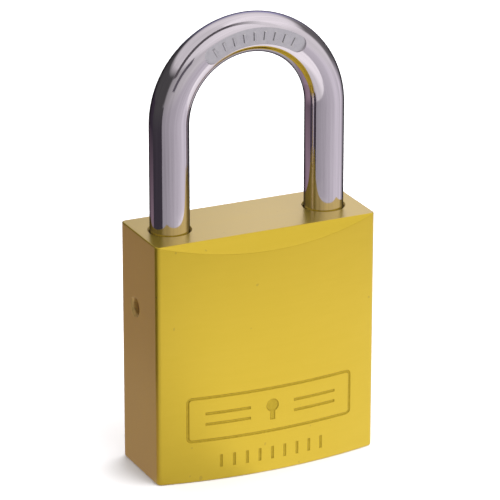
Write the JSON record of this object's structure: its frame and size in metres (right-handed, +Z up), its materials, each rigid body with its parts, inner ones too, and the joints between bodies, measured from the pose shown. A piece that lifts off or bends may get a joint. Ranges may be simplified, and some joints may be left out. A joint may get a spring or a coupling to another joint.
{
  "type": "block body padlock",
  "caption": "Solid block padlock: barrel-faced anodised body, round bent shackle with a stamped flat, ball locking and a pin cylinder underneath.",
  "frame": {"origin": "centre of the underside of the block", "axes": "+Z up towards the shackle, -Y the front face, -X the heel leg and the side with the cross hole"},
  "size_m": [0.0382, 0.0182, 0.0741],
  "materials": {
    "anodised_block": "yellow anodised, satin",
    "shackle_chrome": "polished chrome plate",
    "dark_steel": "dark oiled steel",
    "spring_steel": "drawn wire",
    "ball_steel": "hardened and polished",
    "cam_steel": "sintered steel",
    "shell_brass": "machined",
    "plug_brass": "machined",
    "cover_brass": "rolled strip",
    "key_pin_brass": "turned",
    "driver_steel": "turned"
  },
  "bodies": {
    "lock_body": {"body": "anodised_block", "heel_pin": "dark_steel", "cylinder_shell": "shell_brass", "cylinder_screw": "dark_steel", "spring_cover": "cover_brass", "shackle_spring": "spring_steel", "pin_spring_1": "spring_steel", "pin_spring_2": "spring_steel", "pin_spring_3": "spring_steel", "pin_spring_4": "spring_steel", "pin_spring_5": "spring_steel", "pin_spring_6": "spring_steel"},
    "shackle_body": {"shackle": "shackle_chrome"},
    "plug_body": {"plug": "plug_brass", "plug_clip": "dark_steel", "cam": "cam_steel"},
    "ball_heel_body": {"ball_heel": "ball_steel"},
    "ball_toe_body": {"ball_toe": "ball_steel"},
    "key_pin_1_body": {"key_pin_1": "key_pin_brass"},
    "key_pin_2_body": {"key_pin_2": "key_pin_brass"},
    "key_pin_3_body": {"key_pin_3": "key_pin_brass"},
    "key_pin_4_body": {"key_pin_4": "key_pin_brass"},
    "key_pin_5_body": {"key_pin_5": "key_pin_brass"},
    "key_pin_6_body": {"key_pin_6": "key_pin_brass"},
    "driver_pin_1_body": {"driver_pin_1": "driver_steel"},
    "driver_pin_2_body": {"driver_pin_2": "driver_steel"},
    "driver_pin_3_body": {"driver_pin_3": "driver_steel"},
    "driver_pin_4_body": {"driver_pin_4": "driver_steel"},
    "driver_pin_5_body": {"driver_pin_5": "driver_steel"},
    "driver_pin_6_body": {"driver_pin_6": "driver_steel"}
  },
  "joints": [
    {"name": "shackle_lift", "type": "slide", "parent": "lock_body", "child": "shackle_body", "axis": [0, 0, 1], "range_m": [0, 0.0124], "deforming": ["shackle_spring"]},
    {"name": "plug_turn", "type": "hinge", "parent": "lock_body", "child": "plug_body", "pos_m": [-0.0002, 0, 0.0144], "axis": [0, 0, 1], "range_deg": [0, 90]},
    {"name": "ball_heel_slide", "type": "slide", "parent": "lock_body", "child": "ball_heel_body", "axis": [-1, 0, 0], "range_m": [0, 0.00153]},
    {"name": "ball_toe_slide", "type": "slide", "parent": "lock_body", "child": "ball_toe_body", "axis": [1, 0, 0], "range_m": [0, 0.00153]},
    {"name": "key_pin_1_slide", "type": "slide", "parent": "plug_body", "child": "key_pin_1_body", "axis": [0, 1, 0], "range_m": [0, 0.00144]},
    {"name": "key_pin_2_slide", "type": "slide", "parent": "plug_body", "child": "key_pin_2_body", "axis": [0, 1, 0], "range_m": [0, 0.00224]},
    {"name": "key_pin_3_slide", "type": "slide", "parent": "plug_body", "child": "key_pin_3_body", "axis": [0, 1, 0], "range_m": [0, 0.00104]},
    {"name": "key_pin_4_slide", "type": "slide", "parent": "plug_body", "child": "key_pin_4_body", "axis": [0, 1, 0], "range_m": [0, 0.00184]},
    {"name": "key_pin_5_slide", "type": "slide", "parent": "plug_body", "child": "key_pin_5_body", "axis": [0, 1, 0], "range_m": [0, 0.00264]},
    {"name": "key_pin_6_slide", "type": "slide", "parent": "plug_body", "child": "key_pin_6_body", "axis": [0, 1, 0], "range_m": [0, 0.00144]},
    {"name": "driver_pin_1_slide", "type": "slide", "parent": "lock_body", "child": "driver_pin_1_body", "axis": [1, 0, 0], "range_m": [0, 0.002], "deforming": ["pin_spring_1"]},
    {"name": "driver_pin_2_slide", "type": "slide", "parent": "lock_body", "child": "driver_pin_2_body", "axis": [1, 0, 0], "range_m": [0, 0.002], "deforming": ["pin_spring_2"]},
    {"name": "driver_pin_3_slide", "type": "slide", "parent": "lock_body", "child": "driver_pin_3_body", "axis": [1, 0, 0], "range_m": [0, 0.002], "deforming": ["pin_spring_3"]},
    {"name": "driver_pin_4_slide", "type": "slide", "parent": "lock_body", "child": "driver_pin_4_body", "axis": [1, 0, 0], "range_m": [0, 0.002], "deforming": ["pin_spring_4"]},
    {"name": "driver_pin_5_slide", "type": "slide", "parent": "lock_body", "child": "driver_pin_5_body", "axis": [1, 0, 0], "range_m": [0, 0.002], "deforming": ["pin_spring_5"]},
    {"name": "driver_pin_6_slide", "type": "slide", "parent": "lock_body", "child": "driver_pin_6_body", "axis": [1, 0, 0], "range_m": [0, 0.002], "deforming": ["pin_spring_6"]}
  ],
  "couplings": [
    {"joint": "ball_heel_slide", "follows": "plug_turn", "m_per_rad": 0.00096766},
    {"joint": "ball_toe_slide", "follows": "plug_turn", "m_per_rad": 0.00096766}
  ]
}
